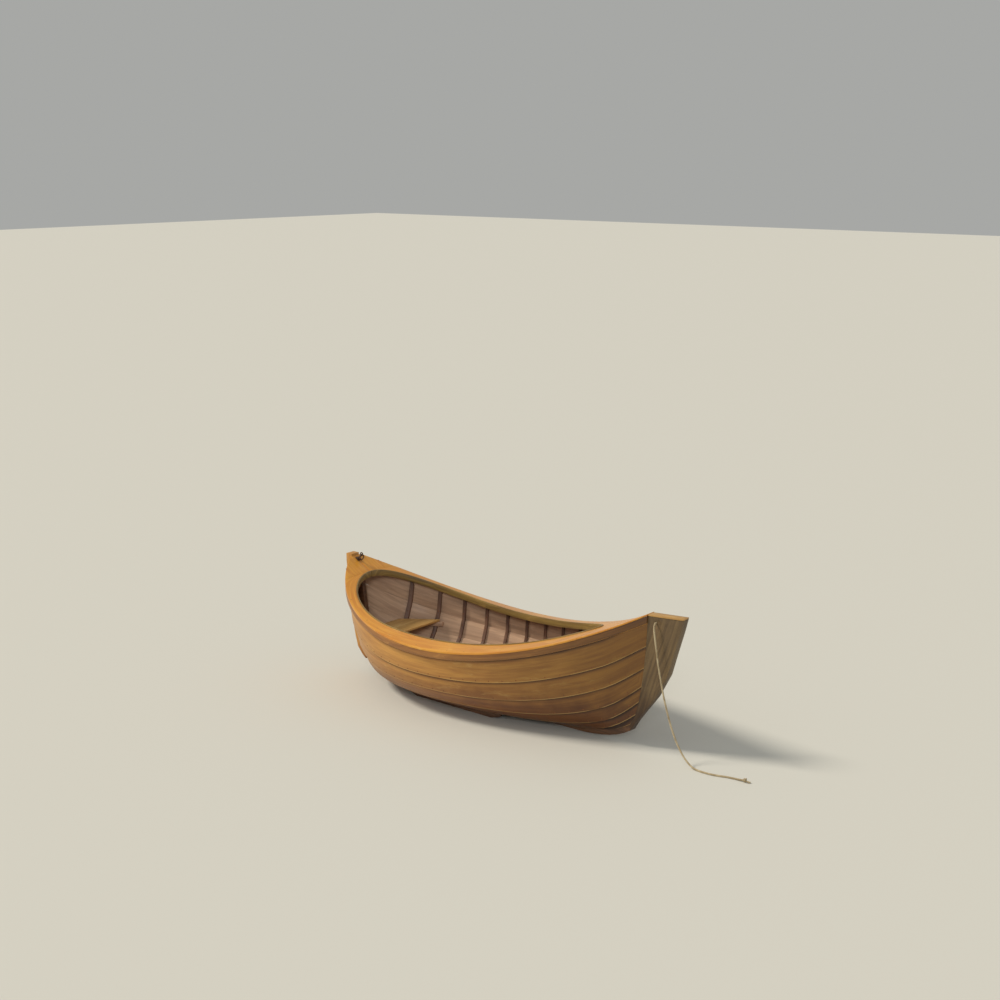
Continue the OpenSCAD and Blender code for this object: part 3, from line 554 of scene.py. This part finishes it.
# Each plank's marks: painted shade towards the bow, damp on the low planks, painted shadow under the laps,
# and a pale lower edge that is partly a painted highlight.
LOW_PLANK = {"Bow Shade": 1, "Damp": 0.85, "Lap Shadow": 0.85, "Edge": 0.4}
HIGH_PLANK = {"Bow Shade": 1, "Lap Shadow": 0.9, "Edge": 0.4}
PLANK_MARKS = [LOW_PLANK] * 5 + [HIGH_PLANK]
PLANK_SEEDS = (0.0, 1.7, 3.4, 5.1, 6.8, 9.1)
PLANK_LOOKS = [timber_look(f"planking_{number}", HONEY, wear=0.35, rough=0.02, coat=0.12, bump=0.4,
                           seed=seed, inner=LIT_MAUVE, marks=marks)
               for number, (seed, marks) in enumerate(zip(PLANK_SEEDS, PLANK_MARKS), 1)]
print("woods:", ", ".join(LOOKS))

# %% [markdown]
# ## Rounded, smooth pieces
# The frame's solids are exact but crisp: loose triangles with hard corners. A copy of each is
# merged, its flat triangles are dissolved into clean faces, and the corners that show are
# bevelled, as a plane or sandpaper would leave them. Curved faces are then shaded smooth and
# only real corners stay sharp.
#
# Grain must follow the wood. For each curved piece the outline of its lower and upper edge is
# read off its own vertices in short stretches along the boat. Any point then has a distance
# from each edge, and the UV map puts the length along the boat's side on U and the distance
# from one edge on V, so the streaks run with the plank however it twists.

# %% Distance along the boat's side
STRETCH = 0.062


def flat(co):
    """A point in the boat's cross-section, with both sides folded onto one."""
    return Vector((abs(co.y), co.z))


def edge_tables(mesh, lowest):
    """The low and high edge of a piece as (x, point) rows. lowest ranks a section's points."""
    bins = {}
    for v in mesh.vertices:
        bins.setdefault(round(v.co.x / STRETCH), []).append(v.co)
    rows = [(min(c, key=lowest), max(c, key=lowest)) for _, c in sorted(bins.items())]
    tables = []
    for k in range(2):
        tables.append(sorted(((row[k].x, flat(row[k])) for row in rows), key=lambda r: r[0]))
    return tables


def on_table(table, x):
    """The point at x along a table of (x, point) rows."""
    for (x0, p0), (x1, p1) in zip(table, table[1:]):
        if x <= x1:
            return p0.lerp(p1, max(0.0, (x - x0) / max(x1 - x0, 1e-6)))
    return table[-1][1]


def length_table():
    """Rows of (x, length) along the outer edge of the port rub rail, from the stern."""
    high = edge_tables(NODES["port_rub_rail"].data, lambda co: abs(co.y))[1]
    rows, total = [(high[0][0], Vector((0, 0)))], 0.0
    for (x0, p0), (x1, p1) in zip(high, high[1:]):
        total += Vector((x1 - x0, p1.x - p0.x)).length
        rows.append((x1, Vector((total, 0))))
    return rows


SIDE_LENGTH = length_table()
print("length along the rub rail:", round(SIDE_LENGTH[-1][1].x, 3), "m")

# %% Copy a node as a finished mesh
BEVEL_SEGMENTS = 2
CORNER = radians(32)
HEIGHT, BREADTH = (lambda co: co.z), (lambda co: abs(co.y))
# Where the deck ends at the stern and the bow, and the length over which the laps run out
STERN_X, BOW_X, LAP_FADE = -1.4555, 1.2345, 0.26
# The last stretch at each end has no lap, and faces that turn less than this are one flat face
LAP_END, SAME_FACE = 0.002, radians(0.3)
# A face that turns inwards, or upwards at this share, by more than this is a plank's inner side
UP_SHARE, TURNED_IN = 0.6, 0.15


def faded(x):
    """1 along the boat, falling to 0 where the laps run out flush at the stem and the post."""
    share = min(1.0, max(0.0, (min(BOW_X - x, x - STERN_X) - LAP_END) / LAP_FADE))
    return share * share * (3 - 2 * share)


def mark_edges(bm, mesh, lowest, lap):
    """Store each vertex's distance from the piece's two edges; lap is hidden under the next piece."""
    low, high = edge_tables(mesh, lowest)
    from_low = bm.verts.layers.float.new("from_low")
    from_high = bm.verts.layers.float.new("from_high")
    for v in bm.verts:
        start = on_table(low, v.co.x)
        run = on_table(high, v.co.x) - start
        width = max(run.length, 1e-4)
        v[from_low] = (flat(v.co) - start).dot(run) / width
        v[from_high] = width - v[from_low] - lap * faded(v.co.x)
    return from_low


def finish_node(name, look, round_to=0.0015, merge=2e-6, lowest=None, lap=0.0, body=HULL):
    """A bevelled, smooth copy of a CAD node that stands for it. lowest asks for a grain UV map."""
    mesh = NODES[name].data
    bm = bmesh.new()
    bm.from_mesh(mesh)
    bmesh.ops.remove_doubles(bm, verts=bm.verts, dist=merge)
    bmesh.ops.dissolve_degenerate(bm, dist=1e-6, edges=bm.edges)
    bmesh.ops.dissolve_limit(bm, angle_limit=SAME_FACE, verts=bm.verts, edges=bm.edges)
    corners = [e for e in bm.edges if len(e.link_faces) == 2 and e.calc_face_angle() > CORNER]
    if round_to:
        bmesh.ops.bevel(bm, geom=corners, offset=round_to, offset_type="OFFSET", profile=0.5,
                        segments=BEVEL_SEGMENTS, affect="EDGES", clamp_overlap=True, material=-1)
    bmesh.ops.triangulate(bm, faces=[f for f in bm.faces if len(f.verts) > 4])
    for face in bm.faces:
        face.smooth = True
    for edge in bm.edges:
        edge.smooth = len(edge.link_faces) == 2 and edge.calc_face_angle() < CORNER
    if lowest:
        from_low = mark_edges(bm, mesh, lowest, lap)
        grain = bm.loops.layers.uv.new("grain")
        inside = bm.faces.layers.float.new("inside")
        for face in bm.faces:
            outward = face.normal.y * (1 if face.calc_center_median().y > 0 else -1)
            face[inside] = 1.0 if outward - UP_SHARE * face.normal.z < -TURNED_IN else 0.0
            for loop in face.loops:
                co = loop.vert.co
                loop[grain].uv = (on_table(SIDE_LENGTH, co.x).x, loop.vert[from_low])
    finished = bpy.data.meshes.new(name)
    bm.to_mesh(finished)
    bm.free()
    finished.materials.append(look)
    obj = bpy.data.objects.new(f"{name}_finished", finished)
    scene.collection.objects.link(obj)
    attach(obj, body)
    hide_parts(name)
    return obj


# %% [markdown]
# ## Planks, decks and frame
# Each plank is a separate length of wood, so each takes its own seed and its streaks never run
# on across a lap. The planks' laps and hidden slivers are merged at under a millimetre first,
# which leaves the visible lower edge clean for its bevel. The top plank's upper strip is hidden
# by the rub rail, so its painted shadow starts lower.

# %% Planking
LAP, UNDER_RAIL, TOP_PLANK = 0.021, 0.05, 6
PLANK_ARRIS, SLIVER = 0.0016, 0.0009
planks = {}
for side, _ in SIDES:
    for number, look in enumerate(PLANK_LOOKS, 1):
        name = f"{side}_strake_{number}"
        lowest, lap = HEIGHT if number > 1 else BREADTH, UNDER_RAIL if number == TOP_PLANK else LAP
        planks[name] = finish_node(name, look, PLANK_ARRIS, SLIVER, lowest, lap)
print("planks finished:", len(planks))

# %% Decks, rails and coaming
decks = {}
DECK_PARTS = ("fore_deck", "side_deck", "aft_deck")
for side, _ in SIDES:
    for part in DECK_PARTS:
        name = f"{side}_{part}"
        decks[name] = finish_node(name, LOOKS["deck_paint"], 0.003, lowest=BREADTH)
    finish_node(f"{side}_rub_rail", LOOKS["rail_paint"], 0.004, lowest=HEIGHT)
    finish_node(f"{side}_coaming", LOOKS["coaming_paint"], 0.004, lowest=HEIGHT)

# %% Backbone, ribs, floor and seat
WOODEN = {"stem_timber": 0.004, "post_timber": 0.005, "cap_timber": 0.005, "backbone": 0.003,
          "frame_timber": 0.003, "rib_timber": 0.003, "floor_board": 0.003, "seat_board": 0.004}
for name, material_slot in SLOT.items():
    if material_slot in WOODEN:
        finish_node(name, LOOKS[material_slot], WOODEN[material_slot])
print("timber pieces finished")

# %% [markdown]
# ## Metal and rubber
# The mooring eye and its ring are forged iron, dark and blotched with rust. The drain socket is
# bronze, dull where it is touched and browned in patches, and its bung is black rubber. Each is a
# copy of its solid, and all but the round ring get small bevels, since bare metal always shows a bright
# edge.


# %% Metal and rubber materials
def worn_metal(name, base, spot, metallic, rough, scale, amount, grain=0.3):
    """Metal or rubber with rougher, duller patches in the spot tone. amount sets how many."""
    material = bpy.data.materials.new(name)
    material.use_nodes = True
    tree = material.node_tree
    shader = tree.nodes["Principled BSDF"]
    place = tree.nodes.new("ShaderNodeTexCoord").outputs["Object"]
    patches = ramp(tree, noise_at(tree, place, scale, 6.0), 0.58 - amount, 0.7 - amount)
    fine = noise_at(tree, place, scale * 9)
    tinted = mixed(tree, maths(tree, "MULTIPLY", fine, 0.35), base, spot)
    link(tree, mixed(tree, patches, tinted, spot), shader.inputs["Base Color"])
    roughness = maths(tree, "ADD", rough, maths(tree, "MULTIPLY", patches, 0.3))
    link(tree, roughness, shader.inputs["Roughness"])
    link(tree, maths(tree, "SUBTRACT", metallic, maths(tree, "MULTIPLY", patches, metallic * 0.7)),
         shader.inputs["Metallic"])
    relief = add(tree, "ShaderNodeBump", Strength=grain, Distance=0.0006, Height=fine)
    link(tree, relief.outputs[0], shader.inputs["Normal"])
    return material


IRON = worn_metal("forged_iron", srgb(92, 78, 66), srgb(112, 70, 44), 0.7, 0.42, 60, 0.05, 0.6)
BRONZE = worn_metal("bronze", srgb(178, 132, 72), srgb(96, 84, 58), 0.9, 0.32, 90, 0.02)
COPPER = worn_metal("copper", srgb(156, 96, 62), srgb(92, 66, 50), 0.8, 0.4, 140, 0.08)
RUBBER = worn_metal("rubber", srgb(46, 44, 42), srgb(70, 66, 60), 0.0, 0.65, 110, 0.0)
finish_node("ring_bolt", IRON, 0.0012)
finish_node("mooring_ring", IRON, 0, body="ring")
finish_node("drain_socket", BRONZE, 0.0008)
finish_node("drain_bung", RUBBER, 0.001, body="bung")

# %% [markdown]
# ## Fastenings
# A clinker boat is riveted with copper nails through every lap, at each rib and between, and
# their heads are punched down in long even rows. A small dome is made at each place. The place is
# found by stepping up from the plank's lower edge to the middle of the lap and asking a search
# tree for the nearest point of the finished plank and its normal. Nails through the ribs show
# inside as roves, and the deck screws are hidden under wooden plugs.

# %% A rivet head
RIVET_RADIUS, RIVET_HEIGHT = 0.0046, 0.0016


def dome(bm, place, normal, radius, height, segments=8, proud=0.3):
    """Add a low dome on a surface. It is closed underneath, and its middle stands proud of the
    surface by that share of its height."""
    turn = normal.to_track_quat("Z", "Y").to_matrix().to_4x4()
    middle = Matrix.Translation(place + normal * height * proud)
    bmesh.ops.create_cone(bm, cap_ends=True, segments=segments, radius1=radius,
                          radius2=radius * 0.5, depth=height, matrix=middle @ turn)


def nearest(tree, point):
    """The surface point nearest to a point, and the surface's normal there."""
    place, normal, _, _ = tree.find_nearest(point)
    return place, normal


def tree_of(obj):
    """A search tree of an object's faces. A bevel makes them in an order that varies, so they are
    put in order first, and a point between two faces always finds the same one."""
    faces = []
    for polygon in obj.data.polygons:
        corners = list(polygon.vertices)
        first = corners.index(min(corners))
        faces.append(corners[first:] + corners[:first])
    return BVHTree.FromPolygons([v.co for v in obj.data.vertices], sorted(faces))


def shown(name, bm, look):
    """Finish a new piece from bm: recalculated normals, its material and its body."""
    bmesh.ops.recalc_face_normals(bm, faces=bm.faces)
    mesh = bpy.data.meshes.new(name)
    bm.to_mesh(mesh)
    bm.free()
    mesh.materials.append(look)
    obj = bpy.data.objects.new(name, mesh)
    scene.collection.objects.link(obj)
    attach(obj, HULL)
    return obj


# %% Rivets along the laps
def middle_x(name):
    """Where the middle of a node lies along the boat."""
    places = [v.co.x for v in NODES[name].data.vertices]
    return (min(places) + max(places)) / 2


RIB_FIRST, RIB_COUNT = middle_x("rib_1"), 10
RIB_STEP = middle_x("rib_2") - RIB_FIRST
LAP_MIDDLE, SEARCH_OUT = 0.011, 0.03
rows = [RIB_FIRST + RIB_STEP * k / 2 for k in range(-2, 2 * RIB_COUNT + 5)]
total = 0
for side, sign in SIDES:
    bm = bmesh.new()
    for number in range(2, 7):
        plank = f"{side}_strake_{number}"
        low, high = edge_tables(NODES[plank].data, HEIGHT)
        outside = tree_of(planks[plank])
        for x in rows:
            start = on_table(low, x)
            up = (on_table(high, x) - start).normalized()
            out = Vector((up.y, -up.x))
            point = start + up * LAP_MIDDLE + out * SEARCH_OUT
            place, normal = nearest(outside, Vector((x, sign * point.x, point.y)))
            if normal.y * sign > 0.05 or normal.z < -0.5:
                dome(bm, place, normal, RIVET_RADIUS, RIVET_HEIGHT, proud=0.35)
                total += 1
    shown(f"{side}_lap_rivets", bm, COPPER)
print("rivets along the laps:", total)

# %% Plugs in the decks
PLUG_RADIUS, PLUG_RISE, PLUG_INSET, PLUG_GAP, END_ROOM = 0.006, 0.0008, 0.02, 0.13, 0.05
PLUG = timber_look("plug", HONEY, 0.2, turn=(0.4, 0.7, 0.3))
total = 0
for side, sign in SIDES:
    bm = bmesh.new()
    for part in DECK_PARTS:
        deck = f"{side}_{part}"
        mesh = NODES[deck].data
        outer = edge_tables(mesh, BREADTH)[1]
        surface = tree_of(decks[deck])
        x, end = outer[0][0] + END_ROOM, outer[-1][0] - END_ROOM
        while x < end:
            edge = on_table(outer, x)
            if edge.x > END_ROOM:
                above = Vector((x, sign * (edge.x - PLUG_INSET), edge.y + END_ROOM))
                place, normal = nearest(surface, above)
                if normal.z > 0.5:
                    dome(bm, place, normal, PLUG_RADIUS, PLUG_RISE, 10)
                    total += 1
            x += PLUG_GAP
    shown(f"{side}_deck_plugs", bm, PLUG)
print("plugs in the decks:", total)

# %% Roves on the ribs
ROVE_RADIUS, ROVE_HEIGHT, ROVE_SPACING = 0.005, 0.0022, 0.085
LOWEST_ROVE, HIGHEST_ROVE = 0.09, 0.5
total = 0
bm = bmesh.new()
for k in range(RIB_COUNT):
    ribs = tree_of(bpy.data.objects[f"rib_{k + 1}_finished"])
    x = RIB_FIRST + RIB_STEP * k
    for sign in (1, -1):
        level = LOWEST_ROVE
        while level < HIGHEST_ROVE:
            hit, normal, _, _ = ribs.ray_cast(Vector((x, 0, level)), Vector((0, sign, 0)))
            if hit is not None and normal.y * sign < -0.2:
                dome(bm, hit, normal, ROVE_RADIUS, ROVE_HEIGHT)
                total += 1
            level += ROVE_SPACING
shown("rib_roves", bm, COPPER)
print("roves on the ribs:", total)

# %% Nails in the floor boards and the seat
NAIL_RADIUS, NAIL_RISE, OVERHEAD = 0.0042, 0.0012, 0.6
FLOOR_TIMBERS = [middle_x(f"floor_timber_{k}") for k in (1, 2, 3)]
SEAT_NAILS = [(-1.17, 0.224), (-0.98, 0.362)]  # over the cleats, which run in with the hull
total = 0
for board, places, slot in (
        ("centre_board", [(x, y) for x in FLOOR_TIMBERS for y in (-0.045, 0.045)], "floor_board"),
        ("port_board", [(x, y) for x in FLOOR_TIMBERS for y in (0.1, 0.18)], "floor_board"),
        ("starboard_board", [(x, y) for x in FLOOR_TIMBERS for y in (-0.18, -0.1)], "floor_board"),
        ("stern_seat", [(x, y * sign) for x, y in SEAT_NAILS for sign in (-1, 1)], "seat_board")):
    surface = tree_of(bpy.data.objects[f"{board}_finished"])
    bm = bmesh.new()
    for x, y in places:
        hit, normal, _, _ = surface.ray_cast(Vector((x, y, OVERHEAD)), Vector((0, 0, -1)))
        if hit is not None:
            dome(bm, hit, normal, NAIL_RADIUS, NAIL_RISE)
            total += 1
    shown(f"{board}_nails", bm, COPPER)
print("nails in the boards:", total)
